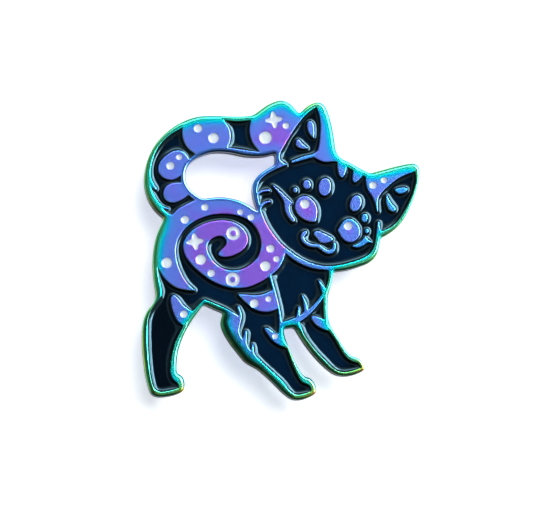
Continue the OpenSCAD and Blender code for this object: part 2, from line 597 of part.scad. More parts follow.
base_plate();
dark_tail_band();
dark_tail_bend();
dark_face();
dark_body();
dark_chest();
dark_front_leg();
white_tail_star();
white_tail_tip_dots();
white_tail_band_dots();
white_tail_bend_dots();
white_back_dots();
white_shoulder_dots();
white_spiral_star();
white_spiral_dots();
white_rings();
white_belly_dots();
white_hip_dot();
white_leg_dot();
white_ear_dots();
white_eye_lights();
post_left();
post_right();
solder_left();
solder_right();
left_cap();
left_spring_seat();
left_wing_a();
left_wing_b();
right_cap();
right_spring_seat();
right_wing_a();
right_wing_b();
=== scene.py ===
import math

import bmesh
import bpy
import numpy as np
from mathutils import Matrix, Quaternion, Vector, kdtree, noise
from mathutils.geometry import delaunay_2d_cdt


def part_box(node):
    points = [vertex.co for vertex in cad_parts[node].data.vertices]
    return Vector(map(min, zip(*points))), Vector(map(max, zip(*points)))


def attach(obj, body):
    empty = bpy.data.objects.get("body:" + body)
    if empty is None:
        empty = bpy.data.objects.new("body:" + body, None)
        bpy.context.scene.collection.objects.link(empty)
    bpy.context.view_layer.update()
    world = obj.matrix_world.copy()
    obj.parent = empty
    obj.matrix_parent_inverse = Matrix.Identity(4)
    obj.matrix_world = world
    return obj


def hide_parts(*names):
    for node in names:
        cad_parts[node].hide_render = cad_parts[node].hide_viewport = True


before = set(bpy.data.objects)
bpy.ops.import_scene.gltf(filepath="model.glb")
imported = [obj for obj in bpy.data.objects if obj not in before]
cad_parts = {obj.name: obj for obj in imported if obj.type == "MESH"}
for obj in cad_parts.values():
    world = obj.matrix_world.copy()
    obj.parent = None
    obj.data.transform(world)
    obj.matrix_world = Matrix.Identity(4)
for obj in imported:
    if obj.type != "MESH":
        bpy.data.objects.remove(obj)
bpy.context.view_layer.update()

MM = 0.001  # lengths below are in mm unless they say otherwise

# ---- sizes read from the frame ----------------------------------------------


def box_mm(node):
    low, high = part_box(node)
    return low / MM, high / MM


PLATE_LOW, PLATE_HIGH = box_mm("base_plate")
PLATE_T = -PLATE_LOW.y  # back face to the top of the raised lines
CELL_FLOOR = -box_mm("dark_body")[1].y
DARK_TOP = -box_mm("dark_body")[0].y
DOT_FLOOR = -box_mm("white_rings")[1].y
WHITE_TOP = -box_mm("white_rings")[0].y

# ---- outlines of the struck face --------------------------------------------
# An outline is an (n, 2) array of x and z. What it bounds lies on its left, seen from the front.

CORNER = 33  # degrees; an outline that bends more than this at a point has a corner there
STEP = 0.15  # between the points of a smooth outline
ROUND_SPREAD = 0.03  # an outline whose radius varies by less than this share is a circle
ROUND_POINTS = 48
FAN = 30  # degrees between the directions that fan out round a corner
WIDE_OPEN = 50.0  # free room where nothing lies ahead
EDGE_ROOM, FLAT_ROOM, BACK_ROOM, POOL_ROOM = 0.92, 0.97, 0.9, 0.93  # shares of it that insets may take


def face_outlines(node, depth):
    """Outlines of a node's flat front face that lies depth mm in front of the back."""
    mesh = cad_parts[node].data
    places = {}
    ids = [places.setdefault(tuple(round(c / MM, 4) for c in v.co), len(places)) for v in mesh.vertices]
    points = np.array(list(places))
    after = {}
    for face in mesh.polygons:
        corners = [ids[v] for v in face.vertices]
        if all(abs(points[v][1] + depth) < 1e-3 for v in corners):
            for a, b in zip(corners, corners[1:] + corners[:1]):
                after.setdefault(a, set()).add(b)
    for a in list(after):
        for b in list(after[a]):
            if b in after and a in after[b]:
                after[a].discard(b)
                after[b].discard(a)
    found = []
    while any(after.values()):
        start = next(a for a in after if after[a])
        loop, here = [], start
        while after.get(here):
            loop.append(here)
            here = after[here].pop()
        if len(loop) > 2:
            found.append(points[loop][:, [0, 2]])
    return found


def area_of(loop):
    x, z = loop[:, 0], loop[:, 1]
    return 0.5 * float(np.sum(x * np.roll(z, -1) - np.roll(x, -1) * z))


def evened(loop):
    """The outline as a smooth curve in short even steps, its sharp corners kept."""
    centre = loop.mean(0)
    reach = np.linalg.norm(loop - centre, axis=1)
    if len(loop) >= 8 and reach.max() - reach.min() < ROUND_SPREAD * reach.mean():
        turn = np.linspace(0, 2 * math.pi, ROUND_POINTS, endpoint=False) * np.sign(area_of(loop))
        return centre + reach.max() * np.stack([np.cos(turn), np.sin(turn)], 1)
    ahead = np.roll(loop, -1, 0) - loop
    length = np.linalg.norm(ahead, axis=1)
    ahead = ahead / length[:, None]
    behind, before = np.roll(ahead, 1, 0), np.roll(length, 1)
    bend = np.degrees(np.abs(np.arctan2(
        behind[:, 0] * ahead[:, 1] - behind[:, 1] * ahead[:, 0], (behind * ahead).sum(1))))
    sharp = bend > CORNER
    slope = (behind * length[:, None] + ahead * before[:, None]) / (length + before)[:, None]
    out = []
    for i in range(len(loop)):
        j = (i + 1) % len(loop)
        start = ahead[i] if sharp[i] else slope[i]
        end = ahead[i] if sharp[j] else slope[j]
        steps = max(1, round(length[i] / STEP))
        for t in np.arange(steps) / steps:
            out.append((2 * t**3 - 3 * t**2 + 1) * loop[i] + (t**3 - 2 * t**2 + t) * length[i] * start
                       + (3 * t**2 - 2 * t**3) * loop[j] + (t**3 - t**2) * length[i] * end)
    return np.array(out)


class Border:
    """The outlines of one flat region, with the inward direction and the free room at each point.

    worn says how often each outline is smoothed.
    """

    def __init__(self, outlines, worn=None):
        points, inward, self.spans = [], [], []
        for n, loop in enumerate(outlines):
            loop = evened(loop)
            for _ in range(worn[n] if worn else 1):
                loop = loop / 2 + (np.roll(loop, 1, 0) + np.roll(loop, -1, 0)) / 4
            ahead = np.roll(loop, -1, 0) - loop
            ahead /= np.linalg.norm(ahead, axis=1)[:, None]
            side = np.stack([-ahead[:, 1], ahead[:, 0]], 1)
            first = sum(map(len, points))
            fanned, sides = [], []
            for p, a, b in zip(loop, np.roll(side, 1, 0), side):
                turn = math.atan2(a[0] * b[1] - a[1] * b[0], a @ b)
                count = 1 + max(0, int(-math.degrees(turn) / FAN))  # more where a corner juts into the region
                for k in range(count):
                    share = 0.5 if count == 1 else k / (count - 1)
                    c, s = math.cos(turn * share), math.sin(turn * share)
                    fanned.append(p)
                    sides.append((a[0] * c - a[1] * s, a[0] * s + a[1] * c))
            points.append(np.array(fanned))
            inward.append(np.array(sides))
            self.spans.append((first, first + len(fanned)))
        self.points = np.concatenate(points)
        self.inward = np.concatenate(inward)
        self.room = self.free_room()

    def free_room(self):
        """Radius of the largest disc inside the region that touches it at each point."""
        room = np.full(len(self.points), WIDE_OPEN)
        for first in range(0, len(self.points), 400):
            part = slice(first, first + 400)
            gap = self.points[None] - self.points[part, None]
            along = (gap * self.inward[part, None]).sum(2)
            square = (gap**2).sum(2)
            faced = (along > 1e-6) & (square > 1e-9)
            room[part] = np.where(faced, square / np.maximum(2 * along, 1e-9), WIDE_OPEN).min(1)
        for a, b in self.spans:
            for _ in range(4):
                part = room[a:b]
                room[a:b] = np.minimum(part, (np.roll(part, 1) + part * 2 + np.roll(part, -1)) / 4)
        return room

    def loops(self, inset):
        """The outlines moved inwards by inset at each point."""
        moved = self.points + self.inward * np.asarray(inset)[:, None]
        return [moved[a:b] for a, b in self.spans]


def tree_of(points):
    """A search tree of flat points."""
    tree = kdtree.KDTree(len(points))
    for i, p in enumerate(points):
        tree.insert((p[0], p[1], 0), i)
    tree.balance()
    return tree


def inside(points, loops):
    """Which points lie inside a region, by counting the crossings of a ray."""
    start = np.concatenate(loops)
    end = np.concatenate([np.roll(loop, -1, 0) for loop in loops])
    hit = np.zeros(len(points), int)
    for first in range(0, len(points), 500):
        x, z = points[first:first + 500, 0, None], points[first:first + 500, 1, None]
        spans = (start[None, :, 1] > z) != (end[None, :, 1] > z)
        rise = np.where(np.abs(end[:, 1] - start[:, 1]) < 1e-12, 1e-12, end[:, 1] - start[:, 1])
        cross = start[None, :, 0] + (z - start[None, :, 1]) * (end[:, 0] - start[:, 0])[None] / rise[None]
        hit[first:first + 500] = (spans & (x < cross)).sum(1)
    return hit % 2 == 1


def doubled_area(places, faces):
    """Twice each triangle's area, below zero where it is wound clockwise."""
    a, b, c = (places[faces[:, k]] for k in range(3))
    return (b[:, 0] - a[:, 0]) * (c[:, 1] - a[:, 1]) - (b[:, 1] - a[:, 1]) * (c[:, 0] - a[:, 0])


def filled(loops, pitch=None, keep_off=0.3):
    """Triangles that fill a region, with a grid of inner points if a pitch is given."""
    points = np.concatenate(loops)
    edges, first = [], 0
    for loop in loops:
        n = len(loop)
        edges += [(first + i, first + (i + 1) % n) for i in range(n)]
        first += n
    if pitch:
        low, high = points.min(0), points.max(0)
        rows = pitch * 0.866  # of even triangles
        xs, zs = np.meshgrid(np.arange(low[0], high[0], pitch), np.arange(low[1], high[1], rows))
        xs[1::2] += pitch / 2
        grid = np.stack([xs.ravel(), zs.ravel()], 1)
        tree = tree_of(points)
        grid = grid[inside(grid, loops)]
        grid = [p for p in grid if tree.find((p[0], p[1], 0))[2] > keep_off]
        if grid:
            points = np.concatenate([points, grid])
    made = delaunay_2d_cdt([Vector(p) for p in points], edges, [], 1, 1e-6)
    places = np.array([tuple(v) for v in made[0]])
    faces = np.array([f for f in made[2] if len(f) == 3])
    faces = faces[inside(places[faces].mean(1), loops)]
    flip = doubled_area(places, faces) < 0
    faces[flip] = faces[flip][:, ::-1]
    return places, faces


# ---- mesh building ----------------------------------------------------------

WELD = 0.0015  # points closer than this are one


def placed(name, data):
    """A new object in the scene."""
    made = bpy.data.objects.new(name, data)
    bpy.context.scene.collection.objects.link(made)
    return made


class Shell:
    """Collects faces in mm and turns them into one welded, smooth mesh object."""

    def __init__(self):
        self.points, self.faces = [], []

    def add(self, points, faces):
        first = len(self.points)
        self.points += [tuple(p) for p in points]
        self.faces += [tuple(first + int(i) for i in f) for f in faces]

    def flat(self, places, faces, depth, towards_front=True):
        depth = np.broadcast_to(depth, len(places))
        self.add([(p[0], -d, p[1]) for p, d in zip(places, depth)],
                 [f if towards_front else f[::-1] for f in faces])

    def band(self, outer, inner, outer_depth, inner_depth):
        """Quads between two outlines of equal length, the region on their left."""
        n = len(outer)
        outer_depth = np.broadcast_to(outer_depth, n)
        inner_depth = np.broadcast_to(inner_depth, n)
        points = [(p[0], -d, p[1]) for p, d in zip(outer, outer_depth)]
        points += [(p[0], -d, p[1]) for p, d in zip(inner, inner_depth)]
        self.add(points, [(i, (i + 1) % n, n + (i + 1) % n, n + i) for i in range(n)])

    def object(self, name):
        mesh = bpy.data.meshes.new(name)
        mesh.from_pydata([Vector(p) * MM for p in self.points], [], self.faces)
        work = bmesh.new()
        work.from_mesh(mesh)
        bmesh.ops.remove_doubles(work, verts=work.verts, dist=WELD * MM)
        bmesh.ops.dissolve_degenerate(work, edges=work.edges, dist=1e-8)
        for face in work.faces:
            face.smooth = True
        work.to_mesh(mesh)
        work.free()
        return placed(name, mesh)


def paint(piece, name, values):
    """A vertex attribute that a material reads."""
    piece.data.attributes.new(name, "FLOAT", "POINT").data.foreach_set("value", values)


def rode(piece, body, slot, material, *nodes):
    """Finish a piece: its body, its material and the CAD nodes it stands for. The slot is not used."""
    piece.data.materials.clear()
    piece.data.materials.append(material)
    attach(piece, body)
    if nodes:
        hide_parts(*nodes)


# ---- materials --------------------------------------------------------------


def srgb(text):
    """Linear colour of a six-digit hex colour."""
    parts = [int(text[i:i + 2], 16) / 255 for i in (0, 2, 4)]
    return tuple(c / 12.92 if c <= 0.04045 else ((c + 0.055) / 1.055)**2.4 for c in parts)


class Nodes:
    """Short calls for the shader nodes of one tree."""

    def __init__(self, tree):
        self.tree = tree

    def put(self, value, socket):
        """Link an output to a socket, or set the socket to a number or colour."""
        if isinstance(value, bpy.types.NodeSocket):
            self.tree.links.new(value, socket)
        else:
            socket.default_value = value

    def node(self, kind, inputs=(), **settings):
        made = self.tree.nodes.new("ShaderNode" + kind)
        for key, value in settings.items():
            setattr(made, key, value)
        for key, value in dict(inputs).items():
            self.put(value, made.inputs[key])
        return made

    def math(self, operation, a, b=0.0):
        return self.node("Math", {0: a, 1: b}, operation=operation).outputs[0]

    def dot(self, vector, direction):
        made = self.node("VectorMath", {0: vector, 1: direction}, operation="DOT_PRODUCT")
        return made.outputs["Value"]

    def ranged(self, value, low, high, to_low=0.0, to_high=1.0, **settings):
        return self.node("MapRange", {"Value": value, "From Min": low, "From Max": high,
                                      "To Min": to_low, "To Max": to_high}, **settings).outputs[0]

    def mix(self, share, a, b):
        made = self.node("Mix", data_type="RGBA")
        for socket, value in ((made.inputs[0], share), (made.inputs[6], a), (made.inputs[7], b)):
            self.put((*value, 1) if isinstance(value, tuple) else value, socket)
        return made.outputs[2]


class Look(Nodes):
    """A Principled material and the nodes that feed it."""

    def __init__(self, name, **sockets):
        self.material = bpy.data.materials.new(name)
        self.material.use_nodes = True
        super().__init__(self.material.node_tree)
        self.shader = self.tree.nodes["Principled BSDF"]
        self.coordinates = None
        for socket, value in sockets.items():
            self.shader.inputs[socket.replace("_", " ")].default_value = value

    def feed(self, socket, output):
        self.tree.links.new(output, self.shader.inputs[socket])

    def noise(self, size, detail=2.0, stretch=None):
        """Noise whose features are about size mm wide."""
        if not self.coordinates:
            self.coordinates = self.node("TexCoord").outputs["Object"]
        place = self.coordinates
        if stretch:
            place = self.node("Mapping", {"Vector": place, "Scale": stretch}).outputs[0]
        made = self.node("TexNoise", {"Vector": place, "Scale": 1 / (size * MM), "Detail": detail})
        return made.outputs["Fac"]

    def attribute(self, name):
        return self.node("Attribute", attribute_name=name).outputs["Fac"]

    def ramp(self, value, stops):
        made = self.node("ValToRGB", {"Fac": value})
        ramp = made.color_ramp
        ramp.interpolation = "EASE"
        while len(ramp.elements) < len(stops):
            ramp.elements.new(0.5)
        for element, (place, colour) in zip(ramp.elements, stops):
            element.position = place
            element.color = (*srgb(colour), 1)
        return made.outputs["Color"]

    def bump(self, height, depth):
        """Relief depth mm deep at a height of 1."""
        self.feed("Normal", self.node("Bump", {"Height": height, "Distance": depth * MM}).outputs[0])


RAINBOW_LOW, RAINBOW_HIGH = -0.5, 5.5  # mm from the rim over which the plating's colour changes
RAINBOW = (
    (-0.5, "D98C84"), (-0.3, "CFC64C"), (-0.12, "70C864"), (0.12, "54C49C"), (0.3, "30CAB6"),
    (0.42, "06D4C8"), (0.6, "00C6DA"), (0.8, "10A8E6"), (1.12, "4692E4"), (1.45, "5A88E2"),
    (1.9, "607FE1"), (2.9, "667CE0"), (3.8, "746FDF"), (5.3, "8A60D6"))
# the side walls carry the plating's hues, darkened as painted shade, with their shine dulled the same way
WALL_RAINBOW_SHADED = (  # down a side wall, from 0 at the front to 1 at the back
    (0.0, "182452"), (0.25, "1E1442"), (0.45, "2C1238"), (0.62, "461622"), (0.8, "5E3A18"), (1.0, "1C4430"))
WALL_SHINE_SHADED = (0.1, 0.1, 0.14)  # of the shine
# the green, yellow and pale cyan edge colours are painted reflections and a painted highlight; the notch
# colour is the plating's own
NOTCH_COLOUR, EDGE_GREEN, EDGE_YELLOW, EDGE_HIGHLIGHT = "B45CD0", "38A860", "9CBB3C", "5FE0EC"
# colour and strength of the painted shade on the front
PAINTED_SHADE_COLOUR, PAINTED_SHADE_SHARE = (0.004, 0.016, 0.02), 0.88
LOWER_LEFT = (-0.72, 0, -0.69)
DRIFT = 0.35  # how far noise moves the colours, in mm
SMOOTHED = -0.08  # less roughness on the rounded edges
STRUCK_RELIEF, BLASTED_RELIEF = 2.0, 14.0  # of the slow waves in front and the grain behind


def rainbow_plating():
    """Reads the attributes that paint_distances makes."""
    look = Look("rainbow_plating", Metallic=0.82, Specular_IOR_Level=0.22)
    rim, wall = look.attribute("rim"), look.attribute("wall")
    drift = look.math("SUBTRACT", look.noise(6, 1.5), 0.5)
    rim = look.math("ADD", rim, look.math("MULTIPLY", drift, DRIFT))
    span = RAINBOW_HIGH - RAINBOW_LOW
    colour = look.ramp(look.ranged(rim, RAINBOW_LOW, RAINBOW_HIGH),
                       [((place - RAINBOW_LOW) / span, c) for place, c in RAINBOW])
    colour = look.mix(look.attribute("notch"), colour, srgb(NOTCH_COLOUR))
    # painted shade: dark lines painted on the front under the edges that face down, away from the light, and
    # where the shade attribute paints shade
    edge, aspect = look.attribute("edge"), look.attribute("aspect")
    line = look.math("MULTIPLY", look.ranged(edge, 0.34, 0.22), look.ranged(aspect, 0.42, 0.85))
    line = look.math("MAXIMUM", line, look.attribute("shade"))
    line = look.math("MULTIPLY", line, look.ranged(wall, 0.5, 0.4))
    # painted reflections: the struck edges are painted green and yellow where they face the lower left, away
    # from the light, and pale cyan as a painted highlight where they face the upper right, towards it
    lean = look.dot(look.node("TexCoord").outputs["Normal"], LOWER_LEFT)
    near_rim = look.ranged(rim, 0.9, 0.4)
    green = look.math("MULTIPLY", look.ranged(lean, 0.06, 0.42), near_rim)
    colour = look.mix(green, colour, srgb(EDGE_GREEN))
    yellow = look.math("MULTIPLY", look.ranged(lean, 0.3, 0.75), look.ranged(look.noise(5, 1), 0.4, 0.62))
    colour = look.mix(yellow, colour, srgb(EDGE_YELLOW))
    pale = look.math("MULTIPLY", look.ranged(lean, -0.3, -0.6), near_rim)
    colour = look.mix(pale, colour, srgb(EDGE_HIGHLIGHT))
    colour = look.mix(look.math("MULTIPLY", line, PAINTED_SHADE_SHARE), colour, PAINTED_SHADE_COLOUR)
    # painted shade on the side walls: dark colours and a dulled shine
    side = look.ramp(look.math("ADD", wall, look.math("MULTIPLY", drift, 0.9)), WALL_RAINBOW_SHADED)
    on_side = look.math("MULTIPLY", look.ranged(wall, 0.2, 0.34), look.ranged(wall, 0.995, 0.975))
    look.feed("Base Color", look.mix(on_side, colour, side))
    look.feed("Specular Tint", look.mix(on_side, (1.0, 1.0, 1.0), WALL_SHINE_SHADED))
    grain = look.noise(0.35, 3)
    smoothed = look.math("MULTIPLY", look.ranged(edge, 0.55, 0.4), SMOOTHED)
    look.feed("Roughness", look.math("ADD", look.ranged(grain, 0.3, 0.7, 0.225, 0.237), smoothed))
    fine = look.math("MULTIPLY", look.noise(0.25, 1), 0.15)
    struck = look.math("ADD", fine, look.math("MULTIPLY", look.noise(2.2, 1), STRUCK_RELIEF))
    blasted = look.math("MULTIPLY", look.ranged(wall, 0.97, 0.99), look.noise(0.3, 3))
    look.bump(look.math("ADD", struck, look.math("MULTIPLY", blasted, BLASTED_RELIEF)), 0.002)
    return look.material


def dark_enamel():
    look = Look("dark_enamel", Roughness=0.06, Specular_IOR_Level=0.32, Specular_Tint=(0.4, 0.8, 1.0, 1))
    cling = look.attribute("cling")
    cloud = look.noise(1.6, 3)
    pool = look.mix(look.ranged(cloud, 0.35, 0.65), (0.0001, 0.0085, 0.030), (0.0002, 0.0105, 0.036))
    # painted dark reflection: the enamel of the back leg is painted darker
    pool = look.mix(look.attribute("murk"), pool, (0.0002, 0.0012, 0.004))
    # painted dark reflection: where the enamel rises against the metal it is painted near black
    look.feed("Base Color", look.mix(look.ranged(cling, 0.04, 0.24), pool, (0.0002, 0.0006, 0.0016)))
    look.feed("Roughness", look.ranged(look.noise(0.35, 2), 0.3, 0.7, 0.04, 0.085))
    look.bump(look.math("ADD", look.noise(0.8, 1), look.math("MULTIPLY", look.noise(0.16, 1), 0.1)), 0.012)
    return look.material


def white_enamel():
    look = Look("white_enamel", Roughness=0.22, Coat_Weight=0.3, Coat_Roughness=0.08)
    cling = look.attribute("cling")
    pool = look.mix(look.ranged(look.noise(0.5, 2), 0.35, 0.7), (0.70, 0.80, 0.84), (0.64, 0.74, 0.80))
    # painted shade: the rim of each dot, where the enamel rises, is painted blue-grey
    look.feed("Base Color", look.mix(look.ranged(cling, 0.12, 0.75), pool, (0.36, 0.42, 0.6)))
    look.feed("Roughness", look.ranged(look.noise(0.2, 2), 0.3, 0.7, 0.18, 0.3))
    look.bump(look.noise(0.4, 1), 0.006)
    return look.material


def pressed_nickel():
    look = Look("clutch_nickel", Metallic=1.0, Roughness=0.2)
    cloud = look.noise(1.2, 3)
    look.feed("Base Color", look.mix(look.ranged(cloud, 0.35, 0.7), srgb("D6D3CC"), srgb("B9B6AF")))
    drawn = look.noise(0.12, 2, stretch=(1, 1, 0.12))
    uneven = look.math("ADD", drawn, look.math("MULTIPLY", cloud, 0.6))
    look.feed("Roughness", look.ranged(uneven, 0.5, 1.1, 0.14, 0.34))
    look.bump(drawn, 0.004)
    return look.material


def drawn_steel():
    look = Look("post_steel", Metallic=1.0, Roughness=0.25)
    turned_marks = look.noise(0.1, 2, stretch=(0.2, 1, 0.2))
    cloud = look.noise(0.8, 2)
    look.feed("Base Color", look.mix(look.ranged(cloud, 0.3, 0.7), srgb("D2D0CC"), srgb("AFAEAC")))
    look.feed("Roughness", look.ranged(turned_marks, 0.3, 0.7, 0.18, 0.36))
    look.bump(turned_marks, 0.004)
    return look.material


def tin_solder():
    look = Look("solder", Metallic=1.0, Roughness=0.42)
    lumps = look.noise(0.35, 3)
    look.feed("Base Color", look.mix(look.ranged(lumps, 0.3, 0.7), srgb("8E9092"), srgb("B7B9BB")))
    look.feed("Roughness", look.ranged(lumps, 0.3, 0.7, 0.32, 0.55))
    look.bump(lumps, 0.03)
    return look.material


PLATING, DARK, WHITE = rainbow_plating(), dark_enamel(), white_enamel()
NICKEL, STEEL, TIN = pressed_nickel(), drawn_steel(), tin_solder()

# ---- the struck plate -------------------------------------------------------

EDGES = {  # how far a raised edge is rounded: inwards, and down
    "outer": (0.44, 0.33), "hole": (0.3, 0.25), "cell": (0.12, 0.1), "dot": (0.04, 0.04)}
CHAMFER = ((0, 1), (0.03, 0.88), (0.12, 0.72), (0.3, 0.5), (0.5, 0.29), (0.68, 0.12), (0.84, 0.03), (1, 0))
BACK_ROUND, BACK_STEPS = 0.18, 4
SEAT_DEPTH, SEAT_ROUND = 0.15, 0.05  # the solder sits in shallow seats in the back
WEAR = 6  # how often the outlines of the plate and its hole are smoothed, which rounds their corners
THIGH = ((-6.1, -10.9), (-2.2, -16.4))  # along the middle leg the outer edge is struck as one broad slope
THIGH_EDGE = (0.95, 0.4)
THIGH_FROM, THIGH_FULL = 1.6, 0.6  # how near that line the slope starts, and where it is whole

METAL_LOOPS = face_outlines("base_plate", PLATE_T)
BACK_LOOPS = [loop[::-1] for loop in face_outlines("base_plate", 0)]
WHITE_NODES = [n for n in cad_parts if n.startswith("white_")]
DARK_NODES = [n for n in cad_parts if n.startswith("dark_")]
WHITE_LOOPS = {n: face_outlines(n, WHITE_TOP) for n in WHITE_NODES}


def alike(a, b):
    return np.linalg.norm(a.mean(0) - b.mean(0)) < 0.02 and abs(abs(area_of(a)) - abs(area_of(b))) < 0.02


def kind_of(loop):
    if abs(area_of(loop)) > 0.99 * max(abs(area_of(m)) for m in METAL_LOOPS):
        return "outer"
    if any(alike(loop, b) for b in BACK_LOOPS):
        return "hole"
    if any(alike(loop, w) for found in WHITE_LOOPS.values() for w in found):
        return "dot"
    return "cell"


def is_seat(loop):
    """Whether an outline in the back has none like it in front, as a seat of the solder has not."""
    return not any(alike(loop, m) for m in METAL_LOOPS)


def from_segment(points, a, b):
    """Distance of each point from the straight line between a and b."""
    a, b = np.array(a), np.array(b)
    t = np.clip(((points - a) @ (b - a)) / ((b - a) @ (b - a)), 0, 1)
    return np.linalg.norm(points - (a + t[:, None] * (b - a)), axis=1)


def ramped(values, start, end):
    """0 at start and before it, 1 at end and beyond it, and straight between the two."""
    return np.clip((values - start) / (end - start), 0, 1)


def without_copies(loop):
    return loop[np.linalg.norm(loop - np.roll(loop, 1, 0), axis=1) > 1e-6]


def edge_rings(border, kinds):
    """Inset and depth of each ring of points down the struck edges, and how deep their rounding goes."""
    reach, drop = np.zeros(len(border.points)), np.zeros(len(border.points))
    for (a, b), kind in zip(border.spans, kinds):
        reach[a:b], drop[a:b] = EDGES[kind]
        if kind == "outer":
            near = ramped(from_segment(border.points[a:b], *THIGH), THIGH_FROM, THIGH_FULL)
            near = near * near * (3 - 2 * near)
            reach[a:b] += near * (THIGH_EDGE[0] - EDGES[kind][0])
            drop[a:b] += near * (THIGH_EDGE[1] - EDGES[kind][1])
    free = np.minimum(1, EDGE_ROOM * border.room / reach)
    reach, drop = reach * free, drop * free**0.6
    chamfered = np.concatenate([np.full(b - a, kind == "outer") for (a, b), kind in zip(border.spans, kinds)])
    rings = []
    for step, (along, down) in enumerate(CHAMFER):
        turn = math.pi / 2 * step / (len(CHAMFER) - 1)
        rings.append((reach * np.where(chamfered, along, 1 - math.cos(turn)),
                      PLATE_T - drop * np.where(chamfered, down, 1 - math.sin(turn))))
    # the flat face starts a little further in
    rings.append((np.minimum(reach * 1.12 + 0.01, FLAT_ROOM * border.room), np.full(len(reach), PLATE_T)))
    return rings, drop


def matching(back, i, back_reach, points):
    """The rounding of the back edge at each point of the matching front outline."""
    a, b = back.spans[i]
    tree = tree_of(back.points[a:b])
    return np.array([back_reach[a + tree.find((*p, 0))[1]] for p in points])


def plate():
    shell = Shell()
    kinds = [kind_of(loop) for loop in METAL_LOOPS]
    border = Border(METAL_LOOPS, worn=[WEAR if kind in ("outer", "hole") else 1 for kind in kinds])
    rings, drop = edge_rings(border, kinds)
    for (inset, depth), (next_inset, next_depth) in zip(rings, rings[1:]):
        for (a, b), outer, inner in zip(border.spans, border.loops(inset), border.loops(next_inset)):
            shell.band(outer, inner, depth[a:b], next_depth[a:b])
    shell.flat(*filled(border.loops(rings[-1][0]), 0.4), PLATE_T)
    # the back, with its rounded edge
    back = Border(BACK_LOOPS, worn=[1 if is_seat(loop) else WEAR for loop in BACK_LOOPS])
    back_reach = np.minimum(BACK_ROUND, BACK_ROOM * back.room)
    for (a, b), loop in zip(back.spans, BACK_LOOPS):
        if is_seat(loop):
            back_reach[a:b] = SEAT_ROUND
    for step in range(BACK_STEPS):
        t0, t1 = math.pi / 2 * step / BACK_STEPS, math.pi / 2 * (step + 1) / BACK_STEPS
        d0, d1 = back_reach * (1 - math.sin(t0)), back_reach * (1 - math.sin(t1))
        for (a, b), outer, inner in zip(back.spans, back.loops(back_reach * (1 - math.cos(t0))),
                                        back.loops(back_reach * (1 - math.cos(t1)))):
            shell.band(inner, outer, d1[a:b], d0[a:b])
    shell.flat(*filled(back.loops(back_reach), 0.6), 0, towards_front=False)
    # the walls, the floors of the cells and dots, and the seats
    floors = {"cell": [], "dot": []}
    for (a, b), kind, loop in zip(border.spans, kinds, METAL_LOOPS):
        points = border.points[a:b]
        if kind in floors:
            foot = CELL_FLOOR if kind == "cell" else DOT_FLOOR
            floors[kind].append(without_copies(points)[::-1])
        else:
            i = next(i for i, m in enumerate(BACK_LOOPS) if alike(m, loop))
            foot = matching(back, i, back_reach, points)
        shell.band(points, points, foot, PLATE_T - drop[a:b])
    shell.flat(*filled(floors["cell"]), CELL_FLOOR)
    shell.flat(*filled(floors["dot"]), DOT_FLOOR)
    for (a, b), loop in zip(back.spans, BACK_LOOPS):
        if is_seat(loop):
            points = back.points[a:b]
            shell.band(points, points, back_reach[a:b], SEAT_DEPTH)
            shell.flat(*filled([without_copies(points)[::-1]]), SEAT_DEPTH, towards_front=False)
    made = shell.object("plate")
    paint_distances(made, border, kinds)
    made.modifiers.new("flats", "WEIGHTED_NORMAL")
    return made


# ---- where the plating is thin or thick -------------------------------------

FAR = 9.0  # the distance that stands for no edge near
FELT = 0.8  # how far a point feels the edges about it
TIP_GAIN, TIP_FADE = 1.6, 0.7  # how much that counts at the edge, and over what distance it fades
TIP_SHIFT, TIP_HEIGHTS = (1.9, 0.7), (-14, -6)  # bare ground thins the plating, most at the feet
GAP_SHIFT = 2.6  # and a gap with little bare ground thickens it
BARE_SLACK = 0.04  # off the half that is bare at a straight edge, before it counts
SHIFT_FADE = 0.9
SPOKES = (0.7, 1.4, 2.1, 2.8)  # distances at which the ground round a point is tried
HOLE_EXTRA = 1.3  # the hole's edge reads as this much further in than the outer edge
THICKER = (  # patches that plated thicker: x, z, radius, and the mm they add to the distance from the rim
    (1.0, 11.8, 2.6, 2.1), (-2.4, 2.6, 4.0, 1.6), (4.8, 3.4, 1.7, 2.0),
    (-6.2, 1.3, 2.2, 1.0), (-10.5, 5.8, 2.0, 0.4))
LIT_SHIFT, UNLIT_SHIFT = -0.22, -0.06  # of the outer edge's colours, by how far it faces the light
LIT_SIDE = np.array((0.72, 0.69))  # inward directions in x and z
SHADED_SIDE = np.array((0.3, 0.95))
LEFT_SIDE = np.array((0.97, 0.24))
ISLAND, ISLAND_GAIN, ISLAND_LEAN = 1.15, 2.4, 0.08  # an island's distance, by width squared, and by x
LINE, LINE_GAIN = 0.9, 1.6  # a thin line's distance, and by width
LINE_WIDE, LINE_STEEP = 0.36, 20  # half the width from which a line soon stops plating like an edge
SLIM_LEAST = 1.05  # no island or line reads as nearer the rim than this


def edge_distance(places, points, lengths):
    """Distance from an edge, its nearest point, and the distance as felt: less where much edge is about."""
    near, found = np.zeros(len(places)), np.zeros(len(places))
    nearest = np.zeros(len(places), int)
    for first in range(0, len(places), 2000):
        gap = np.linalg.norm(places[first:first + 2000, None] - points[None], axis=2)
        near[first:first + 2000], nearest[first:first + 2000] = gap.min(1), gap.argmin(1)
        found[first:first + 2000] = (np.exp(-gap / FELT) * lengths).sum(1)
    weighed = -FELT * np.log(np.maximum(found / (2 * FELT), 1e-9))
    for_straight = np.copy(weighed)
    for _ in range(3):
        for_straight = weighed + FELT / 2 * np.log(np.maximum(1, math.pi / 2 / FELT * for_straight))
    return near, nearest, for_straight


